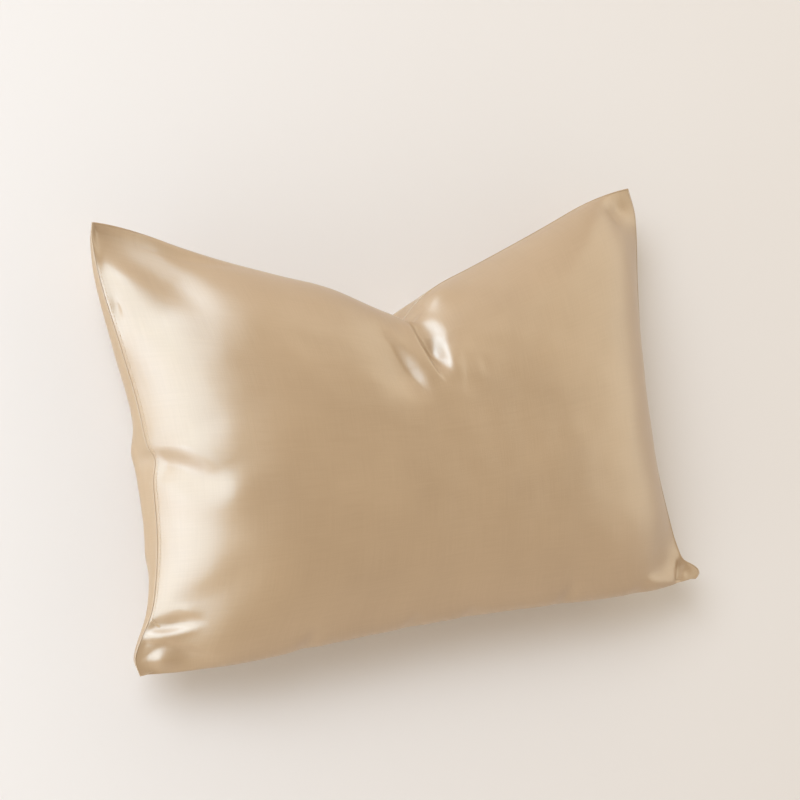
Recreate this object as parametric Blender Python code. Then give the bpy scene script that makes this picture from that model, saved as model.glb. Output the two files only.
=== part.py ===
"""A satin pillowcase filled with its pillow, lying on its back.

Metres, +Z up. X runs along the long sides, Y from the straight long side to the one that is
pushed in at its middle, and Z points out of the front panel. The origin is on the surface
that the back panel lies on, at the middle of the outline's box.
"""

import math
from collections import namedtuple

import bmesh
import bpy
from mathutils import Vector

# Driving dimensions.
HALF_LENGTH = 0.3695  # half the span between the lower corner tips, along X
HALF_WIDTH = 0.2445  # half the span between the upper and the lower corner tips, along Y
SEAM_HEIGHT = 0.072  # the seam's height above the surface
FRONT_CROWN = 0.092  # how far the front panel stands above the seam
BACK_CROWN = 0.118  # how far the back panel would hang below the seam, were it not pressed flat
REST_BLEND = 0.010  # height over which the back panel turns from hanging to lying flat
EDGE_ROUND = 2.4  # how square the crown is: 2 is an even dome, more is a flatter top
END_SQUARE = 5.6  # how square the front crown is towards the two ends
END_STEEP = 0.95  # how steeply it leaves the seam there: 0.5 is upright, 1 a slope
FLAT_TIP = 0.052  # how far from a tip the filling starts to lift the front panel
LOWER_ROLL = 0.024  # how far both panels roll out past the seam along the lower side
SIDE_ROLL = 0.006  # how far the pressed back panel rolls out past the seam at the two ends
ROLL_AT = 0.32  # share of the crown at which a roll stands out furthest
TIP_FADE = 6  # how close to its tips a side still rolls out

# The pushed-in notch in the middle of the upper side, and the lobe on each side of it.
NOTCH_X = 0.000  # its place along the side
LOBE_SLOPE = 0.385  # how steeply each lobe's edge falls from its corner towards the notch
LOBE_FOOT = 0.121  # where the two lobes' lines would meet, along Y
NOTCH_DROP = 0.048  # how much deeper the notch itself cuts
NOTCH_SPREAD = 0.013  # distance over which that extra depth fades
NOTCH_ROUND = 0.009  # rounding of the notch's bottom at the seam
NOTCH_SOFTEN = 0.260  # how much rounder the notch's shape gets across the panel
TIP_ROUND = 0.030  # over which each lobe's line turns level at its tip
NOTCH_LIFT = 0.020  # how far the seam is drawn up over the notch
LIFT_X = 0.038  # where along the side that is most
LIFT_SPREAD = 0.031  # distance over which it fades

# How far the seam is drawn in from the line between the outermost tips: the share of the way
# along the side, from -1 to 1, and the distance.
LEFT_DRAW_IN = (
    (-1.00, 0.002),
    (-0.92, -0.001),
    (-0.74, 0.0235),
    (-0.60, 0.0335),
    (-0.45, 0.0400),
    (-0.30, 0.0428),
    (-0.05, 0.0425),
    (0.20, 0.0400),
    (0.44, 0.031),
    (0.74, 0.018),
    (0.93, 0.015),
    (1.00, 0.018),
)
RIGHT_DRAW_IN = (
    (-1.00, 0.006),
    (-0.98, 0.000),
    (-0.955, 0.001),
    (-0.93, 0.008),
    (-0.905, 0.018),
    (-0.88, 0.0225),
    (-0.84, 0.0255),
    (-0.75, 0.030),
    (-0.40, 0.038),
    (0.10, 0.036),
    (0.50, 0.026),
    (0.85, 0.014),
    (1.00, 0.018),
)
LOWER_DRAW_IN = (
    (-1.00, 0.000),
    (-0.80, 0.008),
    (-0.40, 0.018),
    (0.10, 0.022),
    (0.60, 0.015),
    (0.90, 0.007),
    (1.00, 0.003),
)

# How far the upper side hangs below its lobes' lines.
UPPER_SAG = (
    (-1.00, 0.000),
    (-0.80, 0.0095),
    (-0.60, 0.0125),
    (-0.40, 0.0090),
    (-0.25, 0.0050),
    (-0.09, 0.0085),
    (0.00, 0.000),
    (0.30, 0.004),
    (0.60, 0.005),
    (0.80, 0.003),
    (1.00, 0.000),
)

# How far the left end's seam stands above the rest of the seam.
LEFT_LIFT = (
    (-1.00, 0.000),
    (-0.75, 0.001),
    (-0.45, 0.003),
    (-0.22, 0.006),
    (-0.08, 0.008),
    (0.06, 0.004),
    (0.30, 0.000),
    (1.00, 0.000),
)
LIFT_REACH = 0.060  # how far into the panels that is felt

# The pinch in the left seam, where a fold starts.
PINCH_Y = -0.020  # its place along the side
PINCH_IN = 0.006  # how far it pulls the seam in
PINCH_ABOVE = 0.011  # how long a stretch of seam it pulls on its upper side
PINCH_BELOW = 0.016  # and on its lower side
FRONT_REACH = 0.022  # how far into the front panel it is felt
BACK_REACH = 0.005  # and into the back panel

# Folds: each runs along a curve from start over bend to end in plan. Its rise there is a ridge
# where it is positive and a trough where it is negative. Its sides fall away over two widths,
# left and right of the way it runs, which change by the factor end_spread towards its end. A
# square of 2 rounds it off, and more makes its floor flat and its sides steep.
Fold = namedtuple(
    "Fold",
    "start bend end rise_start rise_middle rise_end width_left width_right end_spread square",
)
FRONT_FOLDS = (
    # the groove that the notch presses into the panel, steep on the left lobe's side
    Fold((-0.004, 0.086), (-0.009, 0.061), (0.008, 0.022), -0.006, -0.0110, 0.0, 0.0215, 0.009, 0.56, 4),
    # its wide shoulder, which narrows down to the groove's lower end
    Fold((-0.004, 0.090), (0.000, 0.072), (0.009, 0.033), -0.006, -0.0060, 0.0, 0.034, 0.009, 0.50, 2),
    # a soft streak on the left lobe, along the groove
    Fold((-0.055, 0.078), (-0.040, 0.047), (-0.016, -0.002), -0.004, -0.0100, 0.0, 0.0085, 0.028, 1.1, 2),
    # two soft creases beside the groove
    Fold((0.037, 0.070), (0.036, 0.036), (0.025, -0.002), 0.0, -0.0011, 0.0, 0.012, 0.005, 1.2, 2),
    Fold((0.057, 0.054), (0.056, 0.038), (0.053, 0.022), 0.0, -0.0007, 0.0, 0.010, 0.0045, 1.0, 2),
    # the trough from the pinch, the ridge over it, and the fuller stretch below it
    Fold((-0.322, -0.026), (-0.298, -0.031), (-0.258, -0.074), -0.004, -0.0042, 0.0, 0.010, 0.011, 1.6, 2),
    Fold((-0.318, -0.004), (-0.294, -0.010), (-0.252, -0.058), 0.0, 0.0026, 0.0, 0.014, 0.009, 1.5, 2),
    Fold((-0.270, -0.040), (-0.258, -0.065), (-0.262, -0.110), 0.0, 0.0030, 0.0, 0.024, 0.024, 1.0, 2),
    # the pocket over the lower left corner, its hooked rim, and the crease under the rim
    Fold((-0.356, -0.193), (-0.334, -0.199), (-0.294, -0.197), -0.003, -0.0052, 0.0, 0.009, 0.008, 0.9, 2),
    Fold((-0.360, -0.203), (-0.330, -0.212), (-0.298, -0.200), 0.001, 0.0032, 0.0, 0.008, 0.006, 0.8, 2),
    Fold((-0.356, -0.211), (-0.336, -0.219), (-0.276, -0.248), -0.003, -0.0055, 0.0, 0.0045, 0.012, 1.3, 2),
    # the tip's ridge, whose left side faces outwards
    Fold((-0.345, -0.216), (-0.338, -0.228), (-0.345, -0.247), 0.004, 0.0085, 0.0, 0.016, 0.014, 1.0, 2),
    # the pocket's thin upper rim, and the shade over it
    Fold((-0.336, -0.178), (-0.312, -0.179), (-0.300, -0.198), 0.0, 0.0015, 0.0, 0.005, 0.005, 1.0, 2),
    Fold((-0.336, -0.184), (-0.300, -0.176), (-0.220, -0.140), 0.0, -0.0026, 0.0, 0.013, 0.014, 1.6, 2),
    # the flattening under the upper left tip, the ridge from the tip, and the dent at the right one
    Fold((-0.345, 0.236), (-0.288, 0.178), (-0.210, 0.095), -0.006, -0.017, 0.0, 0.058, 0.040, 1.2, 2),
    Fold((-0.354, 0.211), (-0.333, 0.182), (-0.300, 0.126), 0.002, 0.0060, 0.0, 0.016, 0.014, 1.3, 2),
    Fold((0.330, 0.216), (0.318, 0.208), (0.300, 0.200), -0.004, -0.003, 0.0, 0.012, 0.012, 1.0, 2),
    # a slit beside the left seam, high up
    Fold((-0.346, 0.162), (-0.342, 0.146), (-0.339, 0.130), 0.0, -0.0030, 0.0, 0.003, 0.003, 1.0, 2),
    # the valley between the body and the lower right tip, and the tip's own crease
    Fold((0.352, -0.212), (0.344, -0.224), (0.337, -0.240), -0.006, -0.006, -0.005, 0.005, 0.007, 1.0, 2),
    Fold((0.345, -0.237), (0.352, -0.231), (0.360, -0.223), 0.0, -0.0018, 0.0, 0.003, 0.004, 1.0, 2),
)
BACK_FOLDS = (
    # the bulge behind the drawn-in part of the left seam
    Fold((-0.322, -0.012), (-0.330, -0.060), (-0.328, -0.115), 0.010, 0.007, 0.006, 0.022, 0.022, 1.0, 2),
    # the one behind the notch
    Fold((-0.036, 0.104), (-0.006, 0.092), (0.026, 0.104), 0.010, 0.010, 0.006, 0.018, 0.018, 1.0, 2),
)
# Dents along the lower side, which both panels share.
LOWER_DENTS = (
    Fold((-0.186, -0.258), (-0.180, -0.242), (-0.172, -0.220), -0.005, -0.0032, 0.0, 0.013, 0.009, 1.0, 2),
    Fold((-0.057, -0.256), (-0.051, -0.240), (-0.046, -0.222), -0.004, -0.0026, 0.0, 0.010, 0.014, 1.0, 2),
    Fold((0.021, -0.256), (0.027, -0.240), (0.035, -0.226), -0.004, -0.0020, 0.0, 0.010, 0.010, 1.0, 2),
    Fold((0.147, -0.258), (0.153, -0.240), (0.164, -0.212), -0.004, -0.0028, 0.0, 0.009, 0.011, 1.0, 2),
    Fold((0.262, -0.254), (0.266, -0.240), (0.270, -0.226), -0.003, -0.0016, 0.0, 0.012, 0.012, 1.0, 2),
)
SEAM_FADE = 0.005  # how far from the seam a fold gets its full rise

# The grid of each panel.
COLUMNS = 68
ROWS = 50
COLUMN_CROWD = 0.50  # how much closer the columns lie at the notch and the ends
ROW_CROWD = 0.50  # how much closer the rows lie at the long sides
CURVE_STEPS = 12  # points on a fold's curve
WELD = 1e-6

SATIN = (0.46, 0.318, 0.178, 1.0)
SATIN_ROUGHNESS = 0.36


def along_table(table, at):
    """Smooth value of a two-column table at a place in its first column."""
    keys = [row[0] for row in table]
    values = [row[1] for row in table]
    last = len(keys) - 1
    slopes = []
    for i in range(last + 1):
        low, high = max(i - 1, 0), min(i + 1, last)
        slopes.append((values[high] - values[low]) / (keys[high] - keys[low]))
    at = min(max(at, keys[0]), keys[-1])
    i = max(k for k in range(last) if keys[k] <= at)
    step = keys[i + 1] - keys[i]
    u = (at - keys[i]) / step
    return (
        values[i] * (1 + 2 * u) * (1 - u) ** 2
        + slopes[i] * step * u * (1 - u) ** 2
        + values[i + 1] * u * u * (3 - 2 * u)
        + slopes[i + 1] * step * u * u * (u - 1)
    )


def smaller(a, b, blend):
    """The smaller of two lengths, rounded where they are within blend of each other."""
    gap = max(blend - abs(a - b), 0.0)
    return min(a, b) - gap * gap / (4 * blend)


def larger(a, b, blend):
    return -smaller(-a, -b, blend)


def ease(u):
    """From 0 to 1, level at both."""
    return u * u * (3 - 2 * u)


def upper_line(x, into):
    """The upper side's Y at x: two lobes and the notch, which softens further into the panel."""
    reach = math.hypot(x - NOTCH_X, NOTCH_ROUND + NOTCH_SOFTEN * into)
    y = LOBE_FOOT + LOBE_SLOPE * reach - NOTCH_DROP * math.exp(-reach / NOTCH_SPREAD)
    return smaller(y - along_table(UPPER_SAG, x / HALF_LENGTH), HALF_WIDTH, TIP_ROUND)


def pinch(into, y, reach):
    """How far the pinch pulls a point in, from its distance into the panel and its Y."""
    length = PINCH_ABOVE if y > PINCH_Y else PINCH_BELOW
    return PINCH_IN * math.exp(-(((y - PINCH_Y) / length) ** 2) - into / reach)


def plan(s, t, pinch_reach):
    """Where a point of a panel lies in plan, for shares s and t from -1 to 1."""
    across, up = (1 + s) / 2, (1 + t) / 2
    left = -HALF_LENGTH + along_table(LEFT_DRAW_IN, t)
    right = HALF_LENGTH - along_table(RIGHT_DRAW_IN, t)
    x = left + (right - left) * across
    low = -HALF_WIDTH + along_table(LOWER_DRAW_IN, s)
    high = upper_line(x, 1 - up)
    y = low + (high - low) * up
    return x + pinch(x - left, y, pinch_reach), y


def dome(u):
    """1 in the middle and 0 at the seam, which it leaves upright."""
    return math.sqrt(max(1 - abs(u) ** EDGE_ROUND, 0.0))


def front_crown(s, t):
    """Share of the full crown at a point of the front panel, which stays flat at the tips."""
    from_tip = math.hypot((1 - abs(s)) * HALF_LENGTH, (1 - abs(t)) * HALF_WIDTH)
    lifted = 1 - math.exp(-((from_tip / FLAT_TIP) ** 2))
    return max(1 - abs(s) ** END_SQUARE, 0.0) ** END_STEEP * dome(t) * lifted


def roll(u, along):
    """Share by which a side rolls out past its seam: none at the seam, the middle and a tip."""
    h = dome(u) / ROLL_AT
    return h * math.exp(1 - h) * (1 - along**TIP_FADE) * math.copysign(1.0, u)


def notch_lift(s, t):
    """How far the seam is drawn up over the notch."""
    away = math.hypot(s * HALF_LENGTH - LIFT_X, (1 - t) * HALF_WIDTH)
    return NOTCH_LIFT * math.exp(-((away / LIFT_SPREAD) ** 2))


def seam_height(s, t):
    """The height that both panels start from, raised at the left end and over the notch."""
    at_end = along_table(LEFT_LIFT, t) * math.exp(-(1 + s) * HALF_LENGTH / LIFT_REACH)
    return SEAM_HEIGHT + at_end + notch_lift(s, t)


def fold_curve(fold):
    start, bend, end = Vector(fold.start), Vector(fold.bend), Vector(fold.end)
    for k in range(CURVE_STEPS + 1):
        u = k / CURVE_STEPS
        yield start * (1 - u) ** 2 + bend * 2 * u * (1 - u) + end * u * u


def nearest_on_fold(fold, point):
    """The distance to a fold, the side of it from -1 to 1, and the share of the way along it."""
    curve = list(fold_curve(fold))
    best = None
    for k, (a, b) in enumerate(zip(curve, curve[1:])):
        run = b - a
        u = min(max((point - a).dot(run) / run.length_squared, 0.0), 1.0)
        away = point - (a + run * u)
        if best is None or away.length < best[0]:
            side = run.cross(away) / (run.length * max(away.length, WELD))
            best = (away.length, side, (k + u) / CURVE_STEPS)
    return best


def fold_rise(fold, point):
    """How far a fold lifts the panel at a point in plan."""
    distance, side, share = nearest_on_fold(fold, point)
    width = (fold.width_left * (1 + side) + fold.width_right * (1 - side)) / 2
    width *= 1 + (fold.end_spread - 1) * share
    rise = fold.rise_start
    rise += (fold.rise_middle - fold.rise_start) * ease(min(2 * share, 1.0))
    rise += (fold.rise_end - fold.rise_middle) * ease(max(2 * share - 1, 0.0))
    return rise * math.exp(-((distance / width) ** fold.square))


def front_point(s, t):
    x, y = plan(s, t, FRONT_REACH)
    if t < 0:
        y += LOWER_ROLL * roll(t, s)
    crown = (FRONT_CROWN - notch_lift(s, t)) * front_crown(s, t)
    return Vector((x, y, seam_height(s, t) + crown))


def back_point(s, t):
    """The back panel hangs below the seam and lies flat where it reaches the surface."""
    x, y = plan(s, t, BACK_REACH)
    x += SIDE_ROLL * roll(s, t)
    if t < 0:
        y += LOWER_ROLL * roll(t, s)
    hanging = seam_height(s, t) - BACK_CROWN * dome(s) * dome(t)
    return Vector((x, y, larger(hanging, 0.0, REST_BLEND)))


def column_place(u):
    """Moves an even column towards the notch or the nearer end."""
    return u - COLUMN_CROWD * math.sin(2 * math.pi * u) / (2 * math.pi)


def row_place(u):
    """Moves an even row towards the nearer long side."""
    return u * (1 - ROW_CROWD) + math.sin(u * math.pi / 2) * ROW_CROWD


def add_panel(bm, point_at, facing_up):
    """One panel as a grid laid in its place, and how far each of its points is from the seam."""
    made = bmesh.ops.create_grid(bm, x_segments=COLUMNS, y_segments=ROWS, size=1.0)
    from_seam = {}
    for vert in made["verts"]:
        s, t = column_place(vert.co.x), row_place(vert.co.y)
        from_seam[vert] = min((1 - abs(s)) * HALF_LENGTH, (1 - abs(t)) * HALF_WIDTH)
        vert.co = point_at(s, t)
    if not facing_up:
        faces = list({face for vert in made["verts"] for face in vert.link_faces})
        bmesh.ops.reverse_faces(bm, faces=faces)
    return from_seam


def press_folds(bm, from_seam, folds):
    """Moves a panel along its own normals by the folds, but not its seam or where it lies."""
    bm.normal_update()
    moves = []
    for vert, distance in from_seam.items():
        if distance > WELD and vert.co.z > WELD:
            full = 1 - math.exp(-((distance / SEAM_FADE) ** 2))
            rise = sum(fold_rise(fold, vert.co.xy) for fold in folds)
            moves.append((vert, vert.normal * rise * full))
    for vert, move in moves:
        vert.co += move
        vert.co.z = max(vert.co.z, 0.0)


def lay_flat(bm):
    """Makes the part of the back panel that lies on the surface one flat face."""
    flat = [face for face in bm.faces if all(vert.co.z < WELD for vert in face.verts)]
    bmesh.ops.dissolve_faces(bm, faces=flat, use_verts=True)


def centre_in_plan(bm):
    """Puts the origin under the middle of the piece's box."""
    for axis in (0, 1):
        places = [vert.co[axis] for vert in bm.verts]
        middle = (min(places) + max(places)) / 2
        for vert in bm.verts:
            vert.co[axis] -= middle


def satin():
    material = bpy.data.materials.new("satin")
    material.use_nodes = True
    shader = material.node_tree.nodes["Principled BSDF"]
    shader.inputs["Base Color"].default_value = SATIN
    shader.inputs["Roughness"].default_value = SATIN_ROUGHNESS
    shader.inputs["Metallic"].default_value = 0.0
    return material


def pillowcase():
    bm = bmesh.new()
    front = add_panel(bm, front_point, facing_up=True)
    back = add_panel(bm, back_point, facing_up=False)
    press_folds(bm, front, FRONT_FOLDS + LOWER_DENTS)
    press_folds(bm, back, BACK_FOLDS + LOWER_DENTS)
    bmesh.ops.remove_doubles(bm, verts=bm.verts, dist=WELD)
    lay_flat(bm)
    centre_in_plan(bm)
    mesh = bpy.data.meshes.new("pillowcase")
    bm.to_mesh(mesh)
    bm.free()
    mesh.materials.append(satin())
    mesh.shade_smooth()
    piece = bpy.data.objects.new("pillowcase", mesh)
    bpy.context.collection.objects.link(piece)
    return piece


def clear_scene():
    for piece in list(bpy.data.objects):
        bpy.data.objects.remove(piece)


clear_scene()
pillowcase()
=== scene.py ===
"""The looks of a satin pillowcase filled with its pillow, lying on its back.

Metres, +Z up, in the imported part's frame: X along the long sides, Y towards the notched long
side, Z out of the front panel.
"""

import math
from collections import namedtuple

import bmesh
import bpy
import numpy as np
from mathutils import Matrix, Vector, noise
from mathutils.bvhtree import BVHTree


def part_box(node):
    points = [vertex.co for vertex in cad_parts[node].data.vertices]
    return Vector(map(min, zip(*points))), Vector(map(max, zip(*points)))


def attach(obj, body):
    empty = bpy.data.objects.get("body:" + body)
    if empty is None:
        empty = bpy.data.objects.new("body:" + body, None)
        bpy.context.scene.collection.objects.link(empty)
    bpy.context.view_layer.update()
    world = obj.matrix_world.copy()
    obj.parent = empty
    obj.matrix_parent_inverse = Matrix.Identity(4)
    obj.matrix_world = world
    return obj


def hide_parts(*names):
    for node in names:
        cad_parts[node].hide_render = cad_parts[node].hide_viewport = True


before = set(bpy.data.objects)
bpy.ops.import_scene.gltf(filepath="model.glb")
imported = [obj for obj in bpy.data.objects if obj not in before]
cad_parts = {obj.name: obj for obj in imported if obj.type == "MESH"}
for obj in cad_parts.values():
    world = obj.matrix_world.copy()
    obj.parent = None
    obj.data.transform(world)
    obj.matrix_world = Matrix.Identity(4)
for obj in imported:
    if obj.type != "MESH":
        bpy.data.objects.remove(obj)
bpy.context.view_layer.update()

# ---------------------------------------------------------------------------------------------
# The camera looks at the front panel from the left of its face, a little rolled, through a
# long lens. The pillow lies on its back, so the camera stands high up, out past its left end.
CAMERA_LEFT = math.radians(29.3)  # off the panel's face, towards its left end
CAMERA_LOW = math.radians(3.4)  # off the panel's face, towards its straight long side
CAMERA_ROLL = math.radians(8.3)
CAMERA_DISTANCE = 2.511
CAMERA_TARGET = Vector((-0.008, 0.0185, 0.072))
SENSOR = 36.0
FOCAL_LENGTH = 99.0
FARTHEST_SEEN = 50.0

looking_from = Vector(
    (
        -math.sin(CAMERA_LEFT) * math.cos(CAMERA_LOW),
        -math.sin(CAMERA_LOW),
        math.cos(CAMERA_LEFT) * math.cos(CAMERA_LOW),
    )
)
level_right = Vector((0, 1, 0)).cross(looking_from).normalized()
level_up = looking_from.cross(level_right)
right = level_right * math.cos(CAMERA_ROLL) - level_up * math.sin(CAMERA_ROLL)
up = looking_from.cross(right)

lens = bpy.data.cameras.new("camera")
lens.sensor_width = SENSOR
lens.lens = FOCAL_LENGTH
lens.clip_end = FARTHEST_SEEN
camera = bpy.data.objects.new("camera", lens)
camera.matrix_world = Matrix.LocRotScale(
    CAMERA_TARGET + looking_from * CAMERA_DISTANCE,
    Matrix((right, up, looking_from)).transposed().to_quaternion(),
    None,
)
bpy.context.collection.objects.link(camera)
bpy.context.scene.camera = camera

# ---------------------------------------------------------------------------------------------
# A plain pale floor, and soft studio light from large panels, most of them on the pillow's left.
FLOOR_SIZE = 12.0
FLOOR_COLOUR = (0.86, 0.838, 0.795, 1.0)
FLOOR_ROUGHNESS = 0.7

bm = bmesh.new()
bmesh.ops.create_grid(bm, x_segments=1, y_segments=1, size=FLOOR_SIZE / 2)
floor_mesh = bpy.data.meshes.new("floor")
bm.to_mesh(floor_mesh)
bm.free()
floor = bpy.data.objects.new("floor", floor_mesh)
bpy.context.collection.objects.link(floor)
floor_paint = bpy.data.materials.new("floor_paint")
floor_paint.use_nodes = True
paint = floor_paint.node_tree.nodes["Principled BSDF"]
paint.inputs["Base Color"].default_value = FLOOR_COLOUR
paint.inputs["Roughness"].default_value = FLOOR_ROUGHNESS
floor_mesh.materials.append(floor_paint)

# The last two values: whether a panel lights dull surfaces, and whether it shows in glossy ones.
Panel = namedtuple("Panel", "name place aim width height power colour diffuse glossy")
LIGHT_PANELS = (
    Panel(
        "key", (-3.2, 2.2, 4.0), (0.0, 0.0, 0.0), 3.0, 3.0, 172.0, (0.95, 1.02, 1.16), True, False
    ),
    Panel(
        "left_panel", (-1.4, 0.75, 0.98), (0.0, 0.0, 0.08), 2.8, 1.7, 60.0, (0.58, 0.90, 1.22), False, True
    ),
    Panel(
        "low_panel", (-2.0, -0.5, 0.45), (-0.3, 0.0, 0.05), 1.5, 0.7, 9.0, (0.78, 1.0, 1.25), True, True
    ),
    Panel(
        "right_panel", (1.9, 0.5, 1.0), (0.0, 0.0, 0.08), 3.0, 2.0, 22.0, (1.03, 1.02, 0.83), False, True
    ),
    Panel(
        "top_panel", (-0.9, 1.9, 0.8), (0.0, 0.1, 0.12), 1.5, 1.2, 20.0, (0.72, 0.95, 1.18), False, True
    ),
)
for panel in LIGHT_PANELS:
    light = bpy.data.lights.new(panel.name, "AREA")
    light.shape = "RECTANGLE"
    light.size, light.size_y = panel.width, panel.height
    light.energy = panel.power
    light.color = panel.colour
    lamp = bpy.data.objects.new(panel.name, light)
    lamp_place = Vector(panel.place)
    lamp_turn = (lamp_place - Vector(panel.aim)).to_track_quat("Z", "Y")
    lamp.matrix_world = Matrix.LocRotScale(lamp_place, lamp_turn, None)
    lamp.visible_diffuse = panel.diffuse
    lamp.visible_glossy = panel.glossy
    bpy.context.collection.objects.link(lamp)

SKY_COLOUR = (1.0, 0.865, 0.725, 1.0)
SKY_OVERHEAD, SKY_LOW = 0.31, 0.98  # strength overhead, and low down all round
SKY_FROM, SKY_TO = 0.97, 0.35  # the sines of the heights between which it changes
sky = bpy.data.worlds.new("studio")
sky.use_nodes = True
sky_tree = sky.node_tree
direction = sky_tree.nodes.new("ShaderNodeTexCoord")
split = sky_tree.nodes.new("ShaderNodeSeparateXYZ")
strength = sky_tree.nodes.new("ShaderNodeMapRange")
strength.interpolation_type = "SMOOTHSTEP"
strength.inputs["From Min"].default_value = SKY_TO
strength.inputs["From Max"].default_value = SKY_FROM
strength.inputs["To Min"].default_value = SKY_LOW
strength.inputs["To Max"].default_value = SKY_OVERHEAD
sky_tree.links.new(direction.outputs["Generated"], split.inputs[0])
sky_tree.links.new(split.outputs["Z"], strength.inputs["Value"])
background = sky_tree.nodes["Background"]
background.inputs["Color"].default_value = SKY_COLOUR
sky_tree.links.new(strength.outputs["Result"], background.inputs["Strength"])
bpy.context.scene.world = sky
bpy.context.scene.view_settings.view_transform = "Standard"

# ---------------------------------------------------------------------------------------------
# The filled case: a front and a back panel of satin, cut alike and sewn together all round in
# a knife edge. The pillow in it crowns both panels, draws the sides in between the corners and
# presses the back flat where it lies. A blow from above has pushed the upper side in.
HALF_LENGTH = 0.3695  # half the outline's length, before the tables below draw the seam in
HALF_WIDTH = 0.2445  # half its width
CLOTH_LENGTH, CLOTH_WIDTH = 0.76, 0.51  # each panel's cut size
SEAM_HEIGHT = 0.072  # above the floor
FRONT_CROWN = 0.092  # how far the front stands above the seam
BACK_CROWN = 0.118  # how far the back would hang below the seam, were it not pressed flat
REST_BLEND = 0.010  # height over which the back turns from hanging to lying flat
EDGE_ROUND = 2.4  # how square the crown is towards the long sides, which it leaves upright
END_SQUARE, END_STEEP = 5.6, 0.95  # how square the front's is towards the ends, and how steep there
FLAT_TIP = 0.052  # how far from a tip the filling starts to lift the front
LOWER_ROLL = 0.024  # how far the lower side's roll pushes both panels outwards
SIDE_ROLL = 0.006  # how far each end's roll pushes the back outwards
ROLL_AT = 0.32  # share of the crown at which a roll pushes most
TIP_FADE = 6  # how close to its tips a side still rolls out

NOTCH_X = 0.000  # where along the upper side the notch is
LOBE_SLOPE = 0.385  # how steeply each lobe's edge falls from its corner towards the notch
LOBE_FOOT = 0.121  # where the two lobes' lines would meet, along Y
NOTCH_DROP = 0.048  # how much deeper the notch itself cuts
NOTCH_SPREAD = 0.013  # distance over which that extra depth fades
NOTCH_ROUND = 0.009  # rounding of the notch's bottom at the seam
NOTCH_SOFTEN = 0.260  # how much rounder the notch's shape gets across the panel
TIP_ROUND = 0.030  # over which each lobe's line turns level at its tip
NOTCH_LIFT = 0.020  # how far the seam is drawn up over the notch
LIFT_X, LIFT_SPREAD = 0.038, 0.031  # where along the side that is most, and over what distance

# How far the seam is drawn in: the share of the way along the side, from -1 to 1, and the distance.
LEFT_DRAW_IN = (
    (-1.00, 0.002),
    (-0.92, -0.001),
    (-0.74, 0.0235),
    (-0.60, 0.0335),
    (-0.45, 0.0400),
    (-0.30, 0.0428),
    (-0.05, 0.0425),
    (0.20, 0.0400),
    (0.44, 0.031),
    (0.74, 0.018),
    (0.93, 0.015),
    (1.00, 0.018),
)
RIGHT_DRAW_IN = (
    (-1.00, 0.006),
    (-0.98, 0.000),
    (-0.955, 0.001),
    (-0.93, 0.008),
    (-0.905, 0.018),
    (-0.88, 0.0225),
    (-0.84, 0.0255),
    (-0.75, 0.030),
    (-0.40, 0.038),
    (0.10, 0.036),
    (0.50, 0.026),
    (0.85, 0.014),
    (1.00, 0.018),
)
LOWER_DRAW_IN = (
    (-1.00, 0.000),
    (-0.80, 0.008),
    (-0.40, 0.018),
    (0.10, 0.022),
    (0.60, 0.015),
    (0.90, 0.007),
    (1.00, 0.003),
)
# How far the upper side sags below the lines of its two lobes.
UPPER_SAG = (
    (-1.00, 0.000),
    (-0.80, 0.0095),
    (-0.60, 0.0125),
    (-0.40, 0.0090),
    (-0.25, 0.0050),
    (-0.09, 0.0085),
    (0.00, 0.000),
    (0.30, 0.004),
    (0.60, 0.005),
    (0.80, 0.003),
    (1.00, 0.000),
)
# How far the left end's seam stands above the rest of the seam.
LEFT_LIFT = (
    (-1.00, 0.000),
    (-0.75, 0.001),
    (-0.45, 0.003),
    (-0.22, 0.006),
    (-0.08, 0.008),
    (0.06, 0.004),
    (0.30, 0.000),
    (1.00, 0.000),
)
LIFT_REACH = 0.060  # how far in from the left end that fades
PINCH_Y, PINCH_IN = -0.020, 0.006  # where the left end is pinched, and how far the seam moves in
PINCH_ABOVE, PINCH_BELOW = 0.011, 0.016  # how long a stretch of seam it pulls, either side
FRONT_REACH, BACK_REACH = 0.022, 0.005  # how far into each panel the pinch is felt

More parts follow.
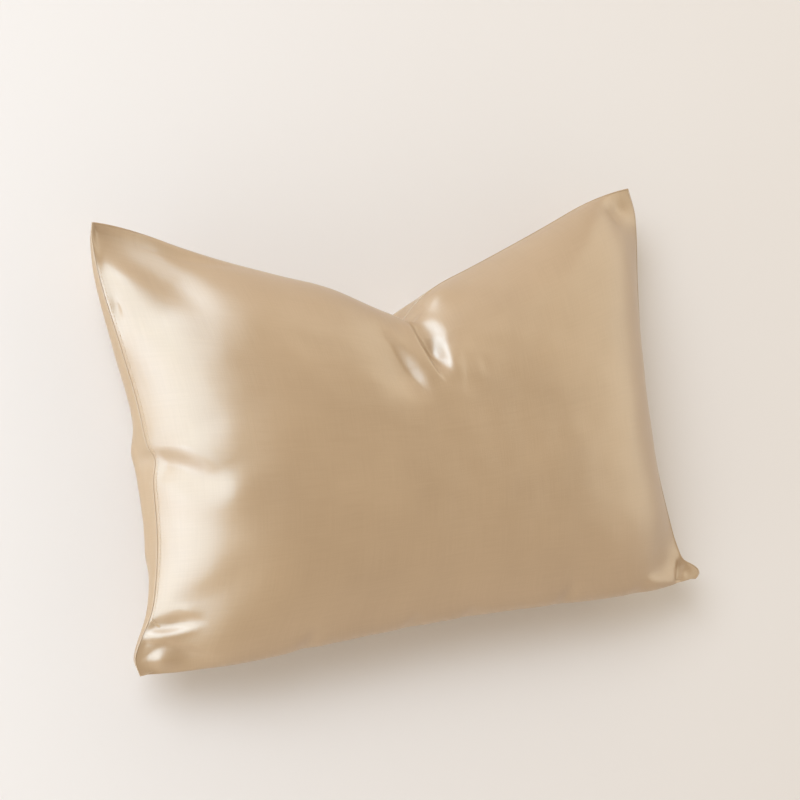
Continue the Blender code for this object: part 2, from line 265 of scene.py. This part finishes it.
# Folds: each runs along a curve from start over bend to end in plan. Its rise there is a ridge
# where it is positive and a trough where it is negative. Its sides fall away over two widths,
# left and right of the way it runs, which change by the factor end_spread towards its end. A
# square of 2 rounds it off, and more makes its floor flat and its sides steep.
Fold = namedtuple(
    "Fold",
    "start bend end rise_start rise_middle rise_end width_left width_right end_spread square",
)
FRONT_FOLDS = (
    # the groove that the notch presses into the panel, steep on the left lobe's side
    Fold((-0.004, 0.086), (-0.009, 0.061), (0.008, 0.022), -0.006, -0.0110, 0.0, 0.0215, 0.009, 0.56, 4),
    # its wide shoulder, which narrows down to the groove's lower end
    Fold((-0.004, 0.090), (0.000, 0.072), (0.009, 0.033), -0.006, -0.0060, 0.0, 0.034, 0.009, 0.50, 2),
    # a soft streak on the left lobe, along the groove
    Fold((-0.055, 0.078), (-0.040, 0.047), (-0.016, -0.002), -0.004, -0.0100, 0.0, 0.0085, 0.028, 1.1, 2),
    # two soft creases beside the groove
    Fold((0.037, 0.070), (0.036, 0.036), (0.025, -0.002), 0.0, -0.0011, 0.0, 0.012, 0.005, 1.2, 2),
    Fold((0.057, 0.054), (0.056, 0.038), (0.053, 0.022), 0.0, -0.0007, 0.0, 0.010, 0.0045, 1.0, 2),
    # the trough from the pinch, the ridge over it, and the fuller stretch below it
    Fold((-0.322, -0.026), (-0.298, -0.031), (-0.258, -0.074), -0.004, -0.0042, 0.0, 0.010, 0.011, 1.6, 2),
    Fold((-0.318, -0.004), (-0.294, -0.010), (-0.252, -0.058), 0.0, 0.0026, 0.0, 0.014, 0.009, 1.5, 2),
    Fold((-0.270, -0.040), (-0.258, -0.065), (-0.262, -0.110), 0.0, 0.0030, 0.0, 0.024, 0.024, 1.0, 2),
    # the pocket over the lower left corner, its hooked rim, and the crease under the rim
    Fold((-0.356, -0.193), (-0.334, -0.199), (-0.294, -0.197), -0.003, -0.0052, 0.0, 0.009, 0.008, 0.9, 2),
    Fold((-0.360, -0.203), (-0.330, -0.212), (-0.298, -0.200), 0.001, 0.0032, 0.0, 0.008, 0.006, 0.8, 2),
    Fold((-0.356, -0.211), (-0.336, -0.219), (-0.276, -0.248), -0.003, -0.0055, 0.0, 0.0045, 0.012, 1.3, 2),
    # the tip's ridge, whose left side faces outwards
    Fold((-0.345, -0.216), (-0.338, -0.228), (-0.345, -0.247), 0.004, 0.0085, 0.0, 0.016, 0.014, 1.0, 2),
    # the pocket's thin upper rim, and the shade over it
    Fold((-0.336, -0.178), (-0.312, -0.179), (-0.300, -0.198), 0.0, 0.0015, 0.0, 0.005, 0.005, 1.0, 2),
    Fold((-0.336, -0.184), (-0.300, -0.176), (-0.220, -0.140), 0.0, -0.0026, 0.0, 0.013, 0.014, 1.6, 2),
    # the flattening under the upper left tip, the ridge from the tip, and the dent at the right one
    Fold((-0.345, 0.236), (-0.288, 0.178), (-0.210, 0.095), -0.006, -0.017, 0.0, 0.058, 0.040, 1.2, 2),
    Fold((-0.354, 0.211), (-0.333, 0.182), (-0.300, 0.126), 0.002, 0.0060, 0.0, 0.016, 0.014, 1.3, 2),
    Fold((0.330, 0.216), (0.318, 0.208), (0.300, 0.200), -0.004, -0.003, 0.0, 0.012, 0.012, 1.0, 2),
    # a slit beside the left seam, high up
    Fold((-0.346, 0.162), (-0.342, 0.146), (-0.339, 0.130), 0.0, -0.0030, 0.0, 0.003, 0.003, 1.0, 2),
    # the valley between the body and the lower right tip, and the tip's own crease
    Fold((0.352, -0.212), (0.344, -0.224), (0.337, -0.240), -0.006, -0.006, -0.005, 0.005, 0.007, 1.0, 2),
    Fold((0.345, -0.237), (0.352, -0.231), (0.360, -0.223), 0.0, -0.0018, 0.0, 0.003, 0.004, 1.0, 2),
)
BACK_FOLDS = (
    # the bulge behind the drawn-in part of the left seam
    Fold((-0.322, -0.012), (-0.330, -0.060), (-0.328, -0.115), 0.010, 0.007, 0.006, 0.022, 0.022, 1.0, 2),
    # the one behind the notch
    Fold((-0.036, 0.104), (-0.006, 0.092), (0.026, 0.104), 0.010, 0.010, 0.006, 0.018, 0.018, 1.0, 2),
)
# Dents along the lower side, which both panels share.
LOWER_DENTS = (
    Fold((-0.186, -0.258), (-0.180, -0.242), (-0.172, -0.220), -0.005, -0.0032, 0.0, 0.013, 0.009, 1.0, 2),
    Fold((-0.057, -0.256), (-0.051, -0.240), (-0.046, -0.222), -0.004, -0.0026, 0.0, 0.010, 0.014, 1.0, 2),
    Fold((0.021, -0.256), (0.027, -0.240), (0.035, -0.226), -0.004, -0.0020, 0.0, 0.010, 0.010, 1.0, 2),
    Fold((0.147, -0.258), (0.153, -0.240), (0.164, -0.212), -0.004, -0.0028, 0.0, 0.009, 0.011, 1.0, 2),
    Fold((0.262, -0.254), (0.266, -0.240), (0.270, -0.226), -0.003, -0.0016, 0.0, 0.012, 0.012, 1.0, 2),
)
SEAM_FADE = 0.005  # distance from the seam over which a fold grows to its rise
SEAM_SHARP = math.radians(40)  # where the panels meet at more than this, the edge is crisp

# The filling's own unevenness, and the ripples that the seam's thread pulls into both panels.
Lumps = namedtuple("Lumps", "size rise")
FILLING = (Lumps(0.070, 0.0009), Lumps(0.034, 0.0005))
RIPPLE_LENGTH, RIPPLE_RISE, RIPPLE_REACH = 0.010, 0.0004, 0.007

COLUMNS, ROWS = 236, 190  # of each panel's grid
COLUMN_CROWD = 0.50  # how much closer the columns lie at the notch and the ends
ROW_CROWD = 0.50  # how much closer the rows lie at the long sides
CURVE_STEPS = 24  # straight stretches on a fold's curve
WELD = 1e-6  # lengths under this count as none


def along_table(table, at):
    """Smooth values of a two-column table at places in its first column."""
    keys, values = np.array(table).T
    last = len(keys) - 1
    low, high = np.maximum(np.arange(last + 1) - 1, 0), np.minimum(np.arange(last + 1) + 1, last)
    slopes = (values[high] - values[low]) / (keys[high] - keys[low])
    at = np.clip(at, keys[0], keys[-1])
    i = np.clip(np.searchsorted(keys, at, side="right") - 1, 0, last - 1)
    step = keys[i + 1] - keys[i]
    u = (at - keys[i]) / step
    return (
        values[i] * (1 + 2 * u) * (1 - u) ** 2
        + slopes[i] * step * u * (1 - u) ** 2
        + values[i + 1] * u * u * (3 - 2 * u)
        + slopes[i + 1] * step * u * u * (u - 1)
    )


def smaller(a, b, blend):
    """The smaller of two lengths, rounded where they are within blend of each other."""
    gap = np.maximum(blend - np.abs(a - b), 0.0)
    return np.minimum(a, b) - gap * gap / (4 * blend)


def larger(a, b, blend):
    """The larger of two lengths, rounded in the same way."""
    return -smaller(-a, -b, blend)


def upper_line(x, into):
    """The upper side's Y at x: two lobes and the notch, which softens further into the panel."""
    reach = np.hypot(x - NOTCH_X, NOTCH_ROUND + NOTCH_SOFTEN * into)
    y = LOBE_FOOT + LOBE_SLOPE * reach - NOTCH_DROP * np.exp(-reach / NOTCH_SPREAD)
    return smaller(y - along_table(UPPER_SAG, x / HALF_LENGTH), HALF_WIDTH, TIP_ROUND)


def plan(s, t, pinch_reach):
    """Where points of a panel lie in plan, for shares s and t from -1 to 1."""
    across, rise = (1 + s) / 2, (1 + t) / 2
    left = -HALF_LENGTH + along_table(LEFT_DRAW_IN, t)
    x = left + (HALF_LENGTH - along_table(RIGHT_DRAW_IN, t) - left) * across
    low = -HALF_WIDTH + along_table(LOWER_DRAW_IN, s)
    y = low + (upper_line(x, 1 - rise) - low) * rise
    length = np.where(y > PINCH_Y, PINCH_ABOVE, PINCH_BELOW)
    pinched = np.exp(-(((y - PINCH_Y) / length) ** 2) - (x - left) / pinch_reach)
    return x + PINCH_IN * pinched, y


def dome(u):
    """1 in the middle and 0 at the seam, which it leaves upright."""
    return np.sqrt(np.maximum(1 - np.abs(u) ** EDGE_ROUND, 0.0))


def roll(u, along):
    """Share by which a side rolls out: none at its seam and tips, and most a little further in.

    A third is left at the middle, where it stops short and makes one row of the grid wider.
    """
    h = dome(u) / ROLL_AT
    return h * np.exp(1 - h) * (1 - along**TIP_FADE) * np.sign(u)


def notch_lift(s, t):
    """How far the seam is drawn up over the notch."""
    away = np.hypot(s * HALF_LENGTH - LIFT_X, (1 - t) * HALF_WIDTH)
    return NOTCH_LIFT * np.exp(-((away / LIFT_SPREAD) ** 2))


def seam_height(s, t):
    """The height that both panels start from, raised at the left end and over the notch."""
    at_end = along_table(LEFT_LIFT, t) * np.exp(-(1 + s) * HALF_LENGTH / LIFT_REACH)
    return SEAM_HEIGHT + at_end + notch_lift(s, t)


def front_shape(s, t):
    """Places on the front panel, before its folds."""
    x, y = plan(s, t, FRONT_REACH)
    y = y + LOWER_ROLL * roll(t, s) * (t < 0)
    crown = np.maximum(1 - np.abs(s) ** END_SQUARE, 0.0) ** END_STEEP * dome(t)
    from_tip = np.hypot((1 - np.abs(s)) * HALF_LENGTH, (1 - np.abs(t)) * HALF_WIDTH)
    crown = crown * (1 - np.exp(-((from_tip / FLAT_TIP) ** 2)))
    return np.stack([x, y, seam_height(s, t) + (FRONT_CROWN - notch_lift(s, t)) * crown], 1)


def back_shape(s, t):
    """Places on the back panel, before its folds."""
    x, y = plan(s, t, BACK_REACH)
    x = x + SIDE_ROLL * roll(s, t)
    y = y + LOWER_ROLL * roll(t, s) * (t < 0)
    hanging = seam_height(s, t) - BACK_CROWN * dome(s) * dome(t)
    return np.stack([x, y, larger(hanging, 0.0, REST_BLEND)], 1)


def ease(u):
    """From 0 to 1, level at both."""
    return u * u * (3 - 2 * u)


def fold_rise(fold, x, y):
    """How far a fold lifts the panel at points in plan."""
    u = np.linspace(0, 1, CURVE_STEPS + 1)[:, None]
    start, bend, end = (np.array(place) for place in (fold.start, fold.bend, fold.end))
    curve = start * (1 - u) ** 2 + bend * 2 * u * (1 - u) + end * u * u
    nearest = np.full(len(x), np.inf)
    side, share = np.zeros(len(x)), np.zeros(len(x))  # side is 1 on the left and -1 on the right
    for k, (a, b) in enumerate(zip(curve, curve[1:])):
        run = b - a
        along = np.clip(((x - a[0]) * run[0] + (y - a[1]) * run[1]) / (run @ run), 0, 1)
        dx, dy = x - a[0] - along * run[0], y - a[1] - along * run[1]
        away = np.hypot(dx, dy)
        closer = away < nearest
        nearest = np.where(closer, away, nearest)
        across = (run[0] * dy - run[1] * dx) / (np.hypot(*run) * np.maximum(away, WELD))
        side = np.where(closer, across, side)
        share = np.where(closer, (k + along) / CURVE_STEPS, share)
    width = (fold.width_left + fold.width_right + side * (fold.width_left - fold.width_right)) / 2
    width = width * (1 + (fold.end_spread - 1) * share)
    first, second = np.minimum(2 * share, 1.0), np.maximum(2 * share - 1, 0.0)
    rise = fold.rise_start + (fold.rise_middle - fold.rise_start) * ease(first)
    rise = rise + (fold.rise_end - fold.rise_middle) * ease(second)
    return rise * np.exp(-((nearest / width) ** fold.square))


def column_place(u):
    """Moves an even column towards the notch or the nearer end."""
    return u - COLUMN_CROWD * np.sin(2 * np.pi * u) / (2 * np.pi)


def row_place(u):
    """Moves an even row towards the nearer long side."""
    return u * (1 - ROW_CROWD) + np.sin(u * np.pi / 2) * ROW_CROWD


def lumpy(s, t, lumps):
    """How far the filling's lumps of one size lift a panel."""
    across, along = s * HALF_LENGTH / lumps.size, t * HALF_WIDTH / lumps.size
    return lumps.rise * np.array([noise.noise((u, v, 0.0)) for u, v in zip(across, along)])


def ripples(s, t):
    """How far the seam's thread lifts a panel, in ripples that run in from the seam."""
    across, along = s * HALF_LENGTH, t * HALF_WIDTH
    from_sides = np.array([noise.noise((u, 0.0, 0.0)) for u in across / RIPPLE_LENGTH])
    from_ends = np.array([noise.noise((0.0, v, 0.0)) for v in along / RIPPLE_LENGTH])
    from_sides = from_sides * np.exp((np.abs(along) - HALF_WIDTH) / RIPPLE_REACH)
    from_ends = from_ends * np.exp((np.abs(across) - HALF_LENGTH) / RIPPLE_REACH)
    return RIPPLE_RISE * (from_sides + from_ends)


def make_grid(name, columns, rows, facing_up=True):
    """A flat grid mesh, with the places of its points as shares from -1 to 1."""
    bm = bmesh.new()
    bm.loops.layers.uv.new("cloth")
    bmesh.ops.create_grid(bm, x_segments=columns, y_segments=rows, size=1.0, calc_uvs=True)
    if not facing_up:
        bmesh.ops.reverse_faces(bm, faces=bm.faces)
    mesh = bpy.data.meshes.new(name)
    bm.to_mesh(mesh)
    bm.free()
    flat = np.empty(len(mesh.vertices) * 3, np.float32)
    mesh.vertices.foreach_get("co", flat)
    return mesh, *flat.reshape(-1, 3).astype(float).T[:2]


def put_points(mesh, places):
    """Moves a mesh's points to these places."""
    mesh.vertices.foreach_set("co", places.astype(np.float32).ravel())
    mesh.update()


def put_cloth(mesh, across, along):
    """Lays the cloth on a mesh: how many metres of it each point lies across and along."""
    corners = np.empty(len(mesh.loops), np.int32)
    mesh.loops.foreach_get("vertex_index", corners)
    cloth = np.stack([across, along], 1)[corners]
    mesh.uv_layers["cloth"].data.foreach_set("uv", cloth.astype(np.float32).ravel())


def make_panel(name, shape, folds, facing_up):
    """One panel's mesh: a grid laid in its shape, then folded along its normals."""
    mesh, s, t = make_grid(name, COLUMNS, ROWS, facing_up)
    s, t = column_place(s), row_place(t)
    put_cloth(mesh, (1 + s) / 2 * CLOTH_LENGTH, (1 + t) / 2 * CLOTH_WIDTH)
    places = shape(s, t)
    put_points(mesh, places)
    normals = np.empty(len(mesh.vertices) * 3, np.float32)
    mesh.vertices.foreach_get("normal", normals)
    from_seam = np.minimum((1 - np.abs(s)) * HALF_LENGTH, (1 - np.abs(t)) * HALF_WIDTH)
    share = (1 - np.exp(-((from_seam / SEAM_FADE) ** 2))) * (places[:, 2] > WELD)
    rise = sum(fold_rise(fold, places[:, 0], places[:, 1]) for fold in folds)
    rise = rise + sum(lumpy(s, t, lumps) for lumps in FILLING) + ripples(s, t)
    places = places + normals.reshape(-1, 3) * (rise * share)[:, None]
    places[:, 2] = np.maximum(places[:, 2], 0.0)
    put_points(mesh, places)
    return mesh


def shift_to_solid(mesh_a, mesh_b):
    """How far two panels are moved in plan to stand where the solid does."""
    low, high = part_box("pillowcase")
    shift = Vector((0.0, 0.0, 0.0))
    for axis in (0, 1):
        places = [vert.co[axis] for mesh in (mesh_a, mesh_b) for vert in mesh.vertices]
        shift[axis] = (low[axis] + high[axis] - min(places) - max(places)) / 2
    return shift


def add_piece(name, mesh, material):
    """Adds a finished mesh as a piece that stays with the pillowcase."""
    piece = bpy.data.objects.new(name, mesh)
    bpy.context.collection.objects.link(piece)
    mesh.materials.append(material)
    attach(piece, "root")
    return piece


def sew(mesh_a, mesh_b):
    """Joins two panels along their seam into one closed mesh."""
    bm = bmesh.new()
    bm.from_mesh(mesh_a)
    bm.from_mesh(mesh_b)
    bmesh.ops.remove_doubles(bm, verts=bm.verts, dist=WELD)
    mesh = bpy.data.meshes.new("case")
    bm.to_mesh(mesh)
    bm.free()
    mesh.shade_smooth()
    mesh.set_sharp_from_angle(angle=SEAM_SHARP)
    return mesh


# The satin: champagne yarns that float over one another, so it gleams. Single yarns are a little
# thicker or paler than the rest, which shows as faint streaks both ways.
SATIN_DEEP = (0.432, 0.296, 0.164, 1.0)
SATIN_PALE = (0.488, 0.340, 0.192, 1.0)
SATIN_ROUGHNESS = (0.345, 0.375)
SATIN_IOR = 1.9
SATIN_SHEEN = 0.04
WARP_WIDTH, WARP_LENGTH = 0.0013, 0.060  # of a thicker warp yarn
WEFT_WIDTH, WEFT_LENGTH = 0.0015, 0.050
GRAIN_DETAIL = 2.0  # sizes of finer grain that each noise adds
DYE_SPREAD = 0.12  # over which the dye's tone drifts
DYE_SHARE = 0.7  # of the tone that is the dye's, where the rest is the yarns'
FLOAT_PITCH = 0.0014  # between the fine diagonals of the weave, along a yarn
FLOAT_WAVER = 0.5  # how unevenly they run
METRE_DIAGONALS = math.pi / 5  # scale at which a wave's diagonals are a metre apart on each axis
YARN_RELIEF, FLOAT_RELIEF = 0.00005, 0.00001
MIDDLING = (0.32, 0.68)  # where most of a noise lies


def add_node(tree, kind, inputs, **settings):
    """Adds a node, each of whose inputs is a value or the output that feeds it."""
    made = tree.nodes.new(kind)
    for name, value in settings.items():
        setattr(made, name, value)
    for name, value in inputs.items():
        if isinstance(value, bpy.types.NodeSocket):
            tree.links.new(value, made.inputs[name])
        else:
            made.inputs[name].default_value = value
    return made.outputs[0]


def stretched_noise(tree, cloth, across, along):
    """Noise with grains this many metres across and along the cloth."""
    fitted = add_node(
        tree, "ShaderNodeMapping", {"Vector": cloth, "Scale": (1 / across, 1 / along, 1.0)}
    )
    grain = {"Vector": fitted, "Scale": 1.0, "Detail": GRAIN_DETAIL}
    return add_node(tree, "ShaderNodeTexNoise", grain)


def spread(tree, share, low, high):
    """Values from low to high, for a noise."""
    limits = {"From Min": MIDDLING[0], "From Max": MIDDLING[1], "To Min": low, "To Max": high}
    return add_node(tree, "ShaderNodeMapRange", {"Value": share, **limits})


def add_up(tree, a, b):
    """The sum of two nodes' values."""
    return add_node(tree, "ShaderNodeMath", {0: a, 1: b}, operation="ADD")


def make_satin():
    """The satin of both panels and of the turned seam."""
    material = bpy.data.materials.new("champagne_satin")
    material.use_nodes = True
    tree = material.node_tree
    shader = tree.nodes["Principled BSDF"]
    cloth = add_node(tree, "ShaderNodeUVMap", {}, uv_map="cloth")
    warp = stretched_noise(tree, cloth, WARP_WIDTH, WARP_LENGTH)
    weft = stretched_noise(tree, cloth, WEFT_LENGTH, WEFT_WIDTH)
    yarns = add_up(tree, spread(tree, warp, 0.0, 0.5), spread(tree, weft, 0.0, 0.5))
    dye = stretched_noise(tree, cloth, DYE_SPREAD, DYE_SPREAD)
    drift = spread(tree, dye, 0.0, DYE_SHARE)
    tone = add_up(tree, drift, spread(tree, yarns, 0.0, 1 - DYE_SHARE))
    ramp = tree.nodes.new("ShaderNodeValToRGB")
    ramp.color_ramp.elements[0].color = SATIN_DEEP
    ramp.color_ramp.elements[1].color = SATIN_PALE
    tree.links.new(tone, ramp.inputs["Fac"])
    tree.links.new(ramp.outputs["Color"], shader.inputs["Base Color"])
    tree.links.new(spread(tree, weft, *SATIN_ROUGHNESS), shader.inputs["Roughness"])
    floats = add_node(
        tree,
        "ShaderNodeTexWave",
        {"Vector": cloth, "Scale": METRE_DIAGONALS / FLOAT_PITCH, "Distortion": FLOAT_WAVER},
        bands_direction="DIAGONAL",
    )
    relief = add_node(tree, "ShaderNodeBump", {"Height": yarns, "Distance": YARN_RELIEF})
    relief = add_node(
        tree, "ShaderNodeBump", {"Height": floats, "Distance": FLOAT_RELIEF, "Normal": relief}
    )
    tree.links.new(relief, shader.inputs["Normal"])
    shader.inputs["IOR"].default_value = SATIN_IOR
    shader.inputs["Sheen Weight"].default_value = SATIN_SHEEN
    return material


front_panel = make_panel("front_panel", front_shape, FRONT_FOLDS + LOWER_DENTS, facing_up=True)
back_panel = make_panel("back_panel", back_shape, BACK_FOLDS + LOWER_DENTS, facing_up=False)
case_shift = shift_to_solid(front_panel, back_panel)
case_mesh = sew(front_panel, back_panel)
case_mesh.transform(Matrix.Translation(case_shift))
satin = make_satin()
case = add_piece("satin_case", case_mesh, satin)
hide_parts("pillowcase")

# ---------------------------------------------------------------------------------------------
# The turned seam: the panels' edges, folded in and sewn together, stand out all round as a fine
# rounded ridge of the same satin.
WELT_RADIUS = 0.0008
WELT_SIDES = 8  # faces round the ridge
WELT_STEPS = 720  # faces along it

# The rim's four sides in turn: where each starts and ends, as shares of the panel.
RIM = (((-1, -1), (1, -1)), ((1, -1), (1, 1)), ((1, 1), (-1, 1)), ((-1, 1), (-1, -1)))


def rim_place(share):
    """Where the seam is, for shares from 0 to 1 of the way round it."""
    turn = np.mod(share, 1.0) * len(RIM)
    side = np.minimum(turn.astype(int), len(RIM) - 1)
    starts, ends = np.array(RIM, float)[side].transpose(1, 0, 2)
    s, t = (starts + (ends - starts) * (turn - side)[:, None]).T
    return front_shape(s, t) + np.array(case_shift)


def make_welt():
    """A grid rolled into a closed ring along the seam."""
    mesh, around, along = make_grid("seam_welt", WELT_STEPS, WELT_SIDES)
    share, angle = (1 + around) / 2, along * np.pi
    places = rim_place(share)
    ahead = rim_place(share + 0.5 / WELT_STEPS) - rim_place(share - 0.5 / WELT_STEPS)
    out = np.stack([ahead[:, 1], -ahead[:, 0]], 1)
    out = out / np.maximum(np.hypot(*out.T), WELD)[:, None]
    put_cloth(mesh, share * 2 * (CLOTH_LENGTH + CLOTH_WIDTH), angle * WELT_RADIUS)
    places[:, :2] = places[:, :2] + out * (WELT_RADIUS * np.cos(angle))[:, None]
    places[:, 2] = places[:, 2] + WELT_RADIUS * np.sin(angle)
    put_points(mesh, places)
    bm = bmesh.new()
    bm.from_mesh(mesh)
    bmesh.ops.remove_doubles(bm, verts=bm.verts, dist=WELD)
    bmesh.ops.recalc_face_normals(bm, faces=bm.faces)
    bm.to_mesh(mesh)
    bm.free()
    mesh.shade_smooth()
    return mesh


add_piece("seam_welt", make_welt(), satin)

# ---------------------------------------------------------------------------------------------
# The closure's stitches: a fine row of champagne thread through the front panel, just in front
# of the left end's seam. They hold the closure's tape, which lies inside.
STITCH_LENGTH, STITCH_GAP = 0.0032, 0.0012
THREAD_RADIUS = 0.00038
STITCH_INSET = 0.0024  # from the seam
STITCH_FROM, STITCH_TO = -0.78, 0.80  # where the row is on the left end, which is from -1 to 1
STITCH_PROUD = 0.3  # how far a stitch's middle stands over the satin, as a share of its radius
STITCH_SIDES, STITCH_RINGS = 8, 6
LINE_POINTS = 400  # points that the row is measured along
THREAD_COLOUR = (0.62, 0.46, 0.28, 1.0)
THREAD_ROUGHNESS = 0.42
PLY_PITCH = 0.0012  # between the diagonals of the thread's twist, along each axis
PLY_RELIEF = 0.0001

skin = BVHTree.FromPolygons(
    [vert.co.copy() for vert in case_mesh.vertices],
    [tuple(face.vertices) for face in case_mesh.polygons],
)


def add_stitch(bm, start, end, radius):
    """A rounded length of thread, a third sunk in the satin, between two places on it."""
    (a, normal_a, _, _), (b, normal_b, _, _) = (skin.find_nearest(p) for p in (start, end))
    ahead = (b - a).normalized()
    normal = (normal_a + normal_b).normalized()
    aside = normal.cross(ahead).normalized()
    turn = Matrix((ahead, aside, ahead.cross(aside))).transposed().to_4x4()
    size = Matrix.Diagonal(((b - a).length / 2, radius, radius, 1.0))
    place = Matrix.Translation((a + b) / 2 + normal * radius * STITCH_PROUD)
    along_x = Matrix.Rotation(math.pi / 2, 4, "Y")
    fitted = place @ turn @ size @ along_x
    bmesh.ops.create_uvsphere(
        bm, u_segments=STITCH_SIDES, v_segments=STITCH_RINGS, radius=1.0, matrix=fitted
    )


def finish_stitches(name, bm):
    """One mesh of all the stitches of a row."""
    mesh = bpy.data.meshes.new(name)
    bm.to_mesh(mesh)
    bm.free()
    mesh.shade_smooth()
    return mesh


def make_closure():
    """A row of stitches beside the left end's seam."""
    t = np.linspace(STITCH_FROM, STITCH_TO, LINE_POINTS)
    s = np.full(len(t), -1 + STITCH_INSET / HALF_LENGTH)
    line = front_shape(s, t) + np.array(case_shift)
    travelled = np.concatenate([[0], np.cumsum(np.linalg.norm(np.diff(line, axis=0), axis=1))])

    def at(distance):
        """The place this far along the row."""
        return Vector([np.interp(distance, travelled, axis) for axis in line.T])

    bm = bmesh.new()
    for start in np.arange(0, travelled[-1] - STITCH_LENGTH, STITCH_LENGTH + STITCH_GAP):
        add_stitch(bm, at(start), at(start + STITCH_LENGTH), THREAD_RADIUS)
    return finish_stitches("closure_stitches", bm)


def make_thread():
    """The thread of the closure's stitches and the bar tack, with its twist."""
    material = bpy.data.materials.new("champagne_thread")
    material.use_nodes = True
    tree = material.node_tree
    shader = tree.nodes["Principled BSDF"]
    shader.inputs["Base Color"].default_value = THREAD_COLOUR
    shader.inputs["Roughness"].default_value = THREAD_ROUGHNESS
    in_space = tree.nodes.new("ShaderNodeTexCoord").outputs["Object"]
    twist = add_node(
        tree,
        "ShaderNodeTexWave",
        {"Vector": in_space, "Scale": METRE_DIAGONALS / PLY_PITCH},
        bands_direction="DIAGONAL",
    )
    relief = add_node(tree, "ShaderNodeBump", {"Height": twist, "Distance": PLY_RELIEF})
    tree.links.new(relief, shader.inputs["Normal"])
    return material


thread = make_thread()
add_piece("closure_stitches", make_closure(), thread)

# ---------------------------------------------------------------------------------------------
# The bar tack at the closure's lower end: a short bar of champagne thread, a little thicker than
# the stitches' own, in stitches side by side that keep the seam from tearing there.
TACK_START, TACK_END = (-0.3450, -0.1850), (-0.3375, -0.1945)  # the line it runs along, in plan
TACK_STITCHES = 12
TACK_WIDTH = 0.0050  # each stitch's length, across that line
TACK_RADIUS = 0.00045


def make_tack():
    """Stitches side by side, each across the line that the tack runs along."""
    start, end = Vector((*TACK_START, SEAM_HEIGHT)), Vector((*TACK_END, SEAM_HEIGHT))
    across = Vector((0, 0, 1)).cross((end - start).normalized()) * TACK_WIDTH / 2
    bm = bmesh.new()
    for number in range(TACK_STITCHES):
        place = start.lerp(end, number / (TACK_STITCHES - 1))
        add_stitch(bm, place - across, place + across, TACK_RADIUS)
    return finish_stitches("bar_tack", bm)


add_piece("bar_tack", make_tack(), thread)
